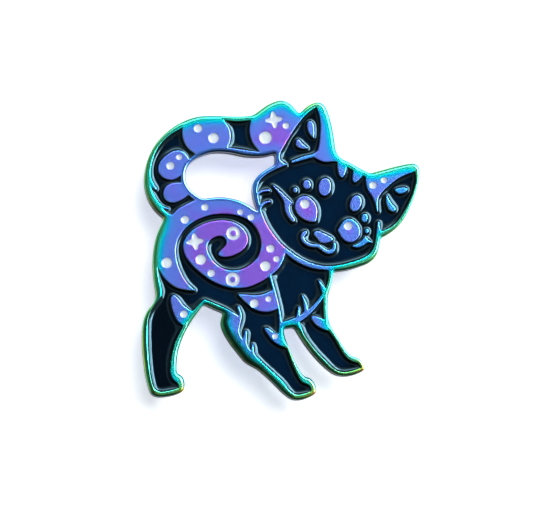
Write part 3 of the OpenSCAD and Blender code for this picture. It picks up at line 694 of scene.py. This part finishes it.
def openness(points, loops):
    """How much of the ground round each point is bare: half at a straight edge, less in a gap."""
    turns = np.linspace(0, 2 * math.pi, 20, endpoint=False)
    spokes = np.concatenate([r * np.stack((np.cos(turns), np.sin(turns)), 1) for r in SPOKES])
    tried = (points[:, None] + spokes[None]).reshape(-1, 2)
    return 1 - inside(tried, loops).reshape(len(points), -1).mean(1)


def patches(flat):
    """Where the bath plated thicker, as millimetres added to the distance from the rim."""
    return sum(more * np.exp(-(((flat - (x, z))**2).sum(1) / reach**2)**2) for x, z, reach, more in THICKER)


def slim_distance(places, border, kinds):
    """What islands and thin lines of metal read as, since they plate like an edge too."""
    lines = [(a, b, area_of(loop) > 0)
             for (a, b), kind, loop in zip(border.spans, kinds, METAL_LOOPS) if kind == "cell"]
    own = np.concatenate([np.arange(a, b) for a, b, _ in lines])
    island = np.concatenate([np.full(b - a, alone) for a, b, alone in lines])
    tree = tree_of(border.points[own])
    found = np.full(len(places), FAR)
    for n, (x, y, z) in enumerate(places):
        if y > -SEAT_DEPTH:
            continue
        _, i, gap = tree.find((x, z, 0))
        width = max(border.room[own[i]], gap)
        if island[i]:
            like = ISLAND + ISLAND_GAIN * width**2 - ISLAND_LEAN * (x - 7)
        else:
            like = LINE + LINE_GAIN * width + LINE_STEEP * max(0, width - LINE_WIDE)
        found[n] = max(like, SLIM_LEAST)
    return found


def paint_distances(piece, border, kinds):
    """Vertex attributes for the plating.

    rim is the distance from the plated rim in mm and edge the plain one, wall how far down a side a point
    lies, notch how deep in a notch, aspect how far the nearest edge faces down, and shade where painted
    shade darkens the middle leg's broad slope and a band inside the edges that face left.
    """
    places = np.zeros(len(piece.data.vertices) * 3)
    piece.data.vertices.foreach_get("co", places)
    places = places.reshape(-1, 3) / MM
    flat = places[:, [0, 2]]
    rim, edge = np.full((2, len(places)), FAR)
    notch, aspect, leftward = np.zeros((3, len(places)))
    around = [loop for loop, k in zip(METAL_LOOPS, kinds) if k in ("outer", "hole")]
    for kind, extra in (("outer", 0.0), ("hole", HOLE_EXTRA)):
        for a, b in (span for span, k in zip(border.spans, kinds) if k == kind):
            points = border.points[a:b]
            bare = openness(points, around) - 0.5
            gain = np.where(bare > 0, np.interp(points[:, 1], TIP_HEIGHTS, TIP_SHIFT), GAP_SHIFT)
            shift = -gain * np.sign(bare) * np.maximum(0, np.abs(bare) - BARE_SLACK)
            lengths = np.linalg.norm(np.roll(points, -1, 0) - np.roll(points, 1, 0), axis=1) / 2
            near, nearest, weighed = edge_distance(flat, points, lengths)
            weighed = near + TIP_GAIN * (weighed - near) * np.exp(-near / TIP_FADE)
            inward = border.inward[a:b][nearest]
            lit = inward @ LIT_SIDE
            shift = shift[nearest] + np.where(lit < 0, LIT_SHIFT, UNLIT_SHIFT) * lit * (kind == "outer")
            rim = np.minimum(rim, weighed + extra + shift * np.exp(-near / SHIFT_FADE))
            if kind == "outer":
                notch = ramped(weighed - near, 0.12, 0.37) * ramped(near, 1.3, 0.7)
            closer = near < edge
            edge = np.where(closer, near, edge)
            aspect = np.where(closer, inward @ SHADED_SIDE, aspect)
            leftward = np.where(closer, inward @ LEFT_SIDE, leftward)
    rim = np.minimum(rim, slim_distance(places, border, kinds))
    rim = rim + patches(flat) * ramped(edge, 0.6, 1.8)
    # painted shade: darkens the middle leg's broad slope and a band inside the edges that face left
    slope = ramped(from_segment(flat, *THIGH), 2.2, 1.2)
    slope = slope * ramped(edge, 0.95, 0.75) * ramped(edge, 0.14, 0.24)
    left_edge_shade = ramped(leftward, 0.35, 0.7) * np.interp(flat[:, 1], (-9, -4), (0.9, 0.3))
    left_edge_shade = left_edge_shade * ramped(edge, 0.14, 0.2) * ramped(edge, 0.58, 0.48)
    wall = np.clip((PLATE_T + places[:, 1]) / PLATE_T, 0, 1)
    for name, values in (("rim", rim), ("wall", wall), ("notch", notch), ("aspect", aspect), ("edge", edge),
                         ("shade", np.maximum(slope, left_edge_shade))):
        paint(piece, name, values)


rode(plate(), "badge", "rainbow_plating", PLATING, "base_plate")

# ---- enamel -----------------------------------------------------------------

LIFT = 0.002  # of the enamel's foot off the cell's floor
CLING_DROP = 0.02  # from the foot of the cell's rounded edge to where the enamel clings
WAVE, WAVE_PITCH = 0.012, 0.55  # height of the slow waves, and waves to a mm
SETTLING = 500  # steps until the liquid's surface is at rest
# painted dark reflection: where the enamel is painted darker, as it reflects less light there
DARK_REFLECTION_X, DARK_REFLECTION_Z = (-11.5, -8.5), (-5, -2)  # the enamel is darker in the back leg, which ends along these


def meniscus(places, faces, fixed, reach):
    """Height from 0 to 1 of a liquid that clings to the fixed points, over a flat triangle mesh."""
    area = np.abs(doubled_area(places, faces)) / 2 + 1e-9
    n = len(places)
    mass = np.zeros(n)
    heads, tails, weights = [], [], []
    for k in range(3):
        p, q, r = faces[:, k], faces[:, (k + 1) % 3], faces[:, (k + 2) % 3]
        np.add.at(mass, p, area / 3)
        cot = ((places[p] - places[r]) * (places[q] - places[r])).sum(1) / (2 * area)
        cot = np.clip(cot, 0.02, 8) / 2
        heads += [p, q]
        tails += [q, p]
        weights += [cot, cot]
    heads, tails, weights = np.concatenate(heads), np.concatenate(tails), np.concatenate(weights)
    total = np.bincount(heads, weights, n) + mass / reach**2
    height = fixed.astype(float)
    for _ in range(SETTLING):
        height = np.where(fixed, 1.0, np.bincount(heads, weights * height[tails], n) / total)
    return height


def key_of(point):
    return round(point[0], 3), round(point[1], 3)


def sheet_of(border, insets, pitch):
    """One sheet of triangles over a region, in rings at these insets and a grid inside them."""
    share = np.minimum(1, POOL_ROOM * border.room / insets[-1])
    rings = [border.loops(inset * share) for inset in insets]
    count = len(border.points)
    faces = []
    for k in range(len(insets) - 1):
        for a, b in border.spans:
            n = b - a
            for i in range(n):
                p, q = k * count + a + i, k * count + a + (i + 1) % n
                faces += [(p, q, q + count), (p, q + count, p + count)]
    places, inner = filled(rings[-1], pitch, 0.2)
    points = np.concatenate([loop for ring in rings for loop in ring] + [places])
    faces = np.concatenate([np.array(faces), inner + count * len(insets)])
    keys = {}
    same = np.array([keys.setdefault(key_of(p), len(keys)) for p in points])
    places = np.zeros((len(keys), 2))
    places[same] = points
    faces = same[faces]
    whole = (faces[:, 0] != faces[:, 1]) & (faces[:, 1] != faces[:, 2]) & (faces[:, 0] != faces[:, 2])
    return places, faces[whole]


def poured(name, loops, floor, level, kind, reach, insets, pitch):
    """Enamel in a cell or dot: flat at level, and risen along its borders over a width of about reach."""
    border = Border(loops)
    foot, clings = floor + LIFT, PLATE_T - EDGES[kind][1] - CLING_DROP
    shell = Shell()
    places, faces = sheet_of(border, insets, pitch)
    edge = {key_of(p) for p in border.points}
    height = meniscus(places, faces, np.array([key_of(p) in edge for p in places]), reach)
    wave = np.array([noise.noise(Vector((p[0] * WAVE_PITCH, p[1] * WAVE_PITCH, 3.1))) for p in places])
    shell.flat(places, faces, level + (clings - level) * height + WAVE * wave * (1 - height))
    for a, b in border.spans:
        shell.band(border.points[a:b], border.points[a:b], foot, clings)
    base = [without_copies(border.points[a:b]) for a, b in border.spans]
    shell.flat(*filled(base), foot, towards_front=False)
    made = shell.object(name)
    risen = [(-v.co.y / MM - level) / (clings - level) for v in made.data.vertices]
    paint(made, "cling", np.clip(risen, 0, 1))
    # how much painted dark reflection each point gets
    paint(made, "murk", [np.interp(v.co.x / MM, DARK_REFLECTION_X, (0.95, 0)) * np.interp(v.co.z / MM, DARK_REFLECTION_Z, (1, 0.35))
                         for v in made.data.vertices])
    return made


for name in DARK_NODES:
    piece = poured(name.replace("dark", "enamel"), face_outlines(name, DARK_TOP), CELL_FLOOR, DARK_TOP - 0.12,
                   "cell", reach=0.28, insets=(0, 0.04, 0.09, 0.15, 0.23, 0.33, 0.46, 0.62), pitch=0.3)
    rode(piece, "badge", "dark_enamel", DARK, name)
for name in WHITE_NODES:
    piece = poured(name.replace("white", "paint"), WHITE_LOOPS[name], DOT_FLOOR, WHITE_TOP - 0.08,
                   "dot", reach=0.16, insets=(0, 0.03, 0.07, 0.12, 0.18), pitch=0.12)
    rode(piece, "badge", "white_enamel", WHITE, name)

# ---- posts and clutches -----------------------------------------------------

SHARP, FLAT = 24, 0.6  # degrees; a CAD edge that bends more is rounded, or less is dissolved
SOFT_SHEET, SOFT_POST, SOFT_SOLDER = 0.06, 0.03, 0.02  # how far it is rounded


def refined(node, name, softened):
    """The CAD piece with its flats cleared of spare edges and its sharp edges rounded."""
    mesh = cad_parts[node].data.copy()
    mesh.name = name
    work = bmesh.new()
    work.from_mesh(mesh)
    bmesh.ops.remove_doubles(work, verts=work.verts, dist=0.002 * MM)
    bmesh.ops.dissolve_limit(work, angle_limit=math.radians(FLAT), verts=work.verts, edges=work.edges)
    edges = [e for e in work.edges if len(e.link_faces) == 2 and e.calc_face_angle(0) > math.radians(SHARP)]
    bmesh.ops.bevel(work, geom=edges, offset=softened * MM, offset_type="OFFSET", segments=3, profile=0.5,
                    affect="EDGES", clamp_overlap=True)
    bmesh.ops.remove_doubles(work, verts=work.verts, dist=0.0005 * MM)
    bmesh.ops.triangulate(work, faces=[f for f in work.faces if len(f.verts) > 4])
    for face in work.faces:
        face.smooth = True
    work.to_mesh(mesh)
    work.free()
    made = placed(name, mesh)
    made.modifiers.new("flats", "WEIGHTED_NORMAL").keep_sharp = True
    return made


for side in ("left", "right"):
    post, solder = "post_" + side, "solder_" + side
    rode(refined(post, "pin_" + post, SOFT_POST), "badge", "post_steel", STEEL, post)
    rode(refined(solder, "solder_ring_" + side, SOFT_SOLDER), "badge", "solder", TIN, solder)
    for part, body in (("cap", "cap"), ("spring_seat", "seat"), ("wing_a", "wing_a"), ("wing_b", "wing_b")):
        node = side + "_" + part
        rode(refined(node, "clutch_" + node, SOFT_SHEET), side + "_" + body, "clutch_nickel", NICKEL, node)

# ---- camera, light and ground -----------------------------------------------


def off_face(azimuth, elevation):
    """Direction that many degrees to the right of and above the way the pin faces."""
    a, e = math.radians(azimuth), math.radians(elevation)
    return (math.sin(a) * math.cos(e), -math.cos(a) * math.cos(e), math.sin(e))


CAMERA_OFF = off_face(-7, -8)
CAMERA_AIM, CAMERA_FAR = (-0.32, -0.9, -3.42), 360
CAMERA_LENS, CAMERA_ROLL = 194.3, -0.5  # mm on a 36 mm sensor, and degrees
WALL_BEHIND, WALL_HALF = 9.2, 600  # the paper behind the clutches
FLOOR_LOW, FLOOR_HALF = -130, 2000
PAPER_GLOW = (0.97, 0.98, 1.0, 1)

# the dome: each patch has a direction, the degrees off it where it ends and where it is full, and its light
DOME_DARK, DOME_SIDE = (0.012, 0.014, 0.02), (0.5, 0.52, 0.55)
BRIGHT_PATCH = (off_face(45, 45), 92, 35, (1.45, 1.56, 1.62))
FRONT = (off_face(0, 0), 80, 55)  # beyond it the sides are lit evenly
SMALL_PATCHES = (
    ((-0.95, -0.15, -0.22), 47, 30, (0.4, 0.42, 0.44)),
    (off_face(7, 7), 17, 10, (0.13, 0.17, 0.22)),
    (off_face(-40, 25), 18, 10, (0.14, 0.16, 0.18)))
WINDOWS = (  # left, right, low and high ends as slopes off the way the pin faces, and the light
    ((0.48, 0.8, -0.05, 1.25), (42.0, 44.0, 46.0)),
    ((0.93, 1.5, -0.05, 1.25), (28.0, 29.0, 30.0)),
    ((-0.3, 0.42, 0.68, 1.2), (12.0, 12.5, 13.0)))
WINDOW_SOFT = 0.05


def camera():
    data = bpy.data.cameras.new("camera")
    made = placed("camera", data)
    back = Vector(CAMERA_OFF)
    data.lens = CAMERA_LENS
    data.clip_start, data.clip_end = 0.01, 10
    made.location = Vector(CAMERA_AIM) * MM + back * CAMERA_FAR * MM
    made.rotation_mode = "QUATERNION"
    roll = Quaternion((0, 0, 1), math.radians(CAMERA_ROLL))
    made.rotation_quaternion = (-back).to_track_quat("-Z", "Y") @ roll
    bpy.context.scene.camera = made


def sheet(name, corners, look):
    """A flat square of four corners in mm."""
    mesh = bpy.data.meshes.new(name)
    mesh.from_pydata([Vector(c) * MM for c in corners], [], [(0, 1, 2, 3)])
    mesh.materials.append(look.material)
    return placed(name, mesh)


def backdrop():
    paper = Look("backdrop", Base_Color=(0.93, 0.935, 0.94, 1), Roughness=0.9, Specular_IOR_Level=0.1,
                 Emission_Color=PAPER_GLOW, Emission_Strength=0.54)
    # the paper's back is clear, so that the pin is seen from behind
    behind = paper.node("NewGeometry").outputs["Backfacing"]
    clear = paper.node("BsdfTransparent").outputs[0]
    mixed = paper.node("MixShader", {0: behind, 1: paper.shader.outputs[0], 2: clear})
    paper.put(mixed.outputs[0], paper.tree.nodes["Material Output"].inputs["Surface"])
    y, w = PLATE_HIGH.y + WALL_BEHIND, WALL_HALF
    wall = sheet("backdrop", ((-w, y, -w), (w, y, -w), (w, y, w), (-w, y, w)), paper)
    ground = Look("ground", Base_Color=(0.86, 0.865, 0.87, 1), Roughness=0.9,
                  Emission_Color=PAPER_GLOW, Emission_Strength=0.62)
    z, w = FLOOR_LOW, FLOOR_HALF
    floor = sheet("ground", ((-w, -w, z), (w, -w, z), (w, w, z), (-w, w, z)), ground)
    floor.visible_glossy = False
    floor.visible_diffuse = False


def sky():
    """A dark room with windows, a bright side and a few pale patches for the shine. The camera sees white."""
    world = bpy.data.worlds.new("studio")
    bpy.context.scene.world = world
    world.use_nodes = True
    nodes = Nodes(world.node_tree)
    towards = nodes.node("TexCoord").outputs["Generated"]

    def facing(direction, ends, full):
        """0 beyond the angle where a patch ends, and 1 within the angle where it is full, in degrees."""
        cosine = nodes.dot(towards, Vector(direction).normalized())
        return nodes.ranged(cosine, math.cos(math.radians(ends)), math.cos(math.radians(full)),
                            interpolation_type="SMOOTHSTEP")

    def between(value, low, high):
        """1 between low and high, 0 outside, with soft borders."""
        soft = WINDOW_SOFT
        return nodes.math("MULTIPLY",
                          nodes.ranged(value, low - soft, low + soft, interpolation_type="SMOOTHSTEP"),
                          nodes.ranged(value, high + soft, high - soft, interpolation_type="SMOOTHSTEP"))

    parts = nodes.node("SeparateXYZ", {0: towards})
    ahead = nodes.math("MAXIMUM", nodes.math("MULTIPLY", parts.outputs["Y"], -1.0), 0.05)
    right = nodes.math("DIVIDE", parts.outputs["X"], ahead)
    up = nodes.math("DIVIDE", parts.outputs["Z"], ahead)
    *bright, light = BRIGHT_PATCH
    dome = nodes.mix(facing(*bright), DOME_DARK, light)
    dome = nodes.mix(facing(*FRONT), DOME_SIDE, dome)
    for *patch, light in SMALL_PATCHES:
        dome = nodes.mix(facing(*patch), dome, light)
    # blinds break the windows into uneven streaks
    blinds = nodes.node("TexNoise", {"Vector": towards, "Scale": 9.0, "Detail": 2.0}).outputs["Fac"]
    slats = nodes.ranged(blinds, 0.36, 0.56, 0.3)
    for (left_end, right_end, low_end, high_end), light in WINDOWS:
        window = nodes.math("MULTIPLY", between(right, left_end, right_end), between(up, low_end, high_end))
        dome = nodes.mix(nodes.math("MULTIPLY", window, slats), dome, light)
    seen = nodes.node("LightPath").outputs["Is Camera Ray"]
    nodes.put(nodes.mix(seen, dome, (1.0, 1.0, 1.0)), nodes.tree.nodes["Background"].inputs["Color"])
    world.cycles_visibility.diffuse = False  # the lamps light paint and paper, the dome is for the shine


def lamp(name, power, spread, direction):
    data = bpy.data.lights.new(name, "SUN")
    data.energy, data.angle = power, math.radians(spread)
    made = placed(name, data)
    made.rotation_mode = "QUATERNION"
    made.rotation_quaternion = Vector(direction).to_track_quat("Z", "Y")
    made.visible_glossy = False


camera()
backdrop()
sky()
lamp("key", 2.6, 25, off_face(6, 7))
lamp("fill", 0.6, 110, off_face(0, 5))
bpy.context.scene.view_settings.view_transform = "Standard"
bpy.context.scene.view_settings.exposure = 0.0
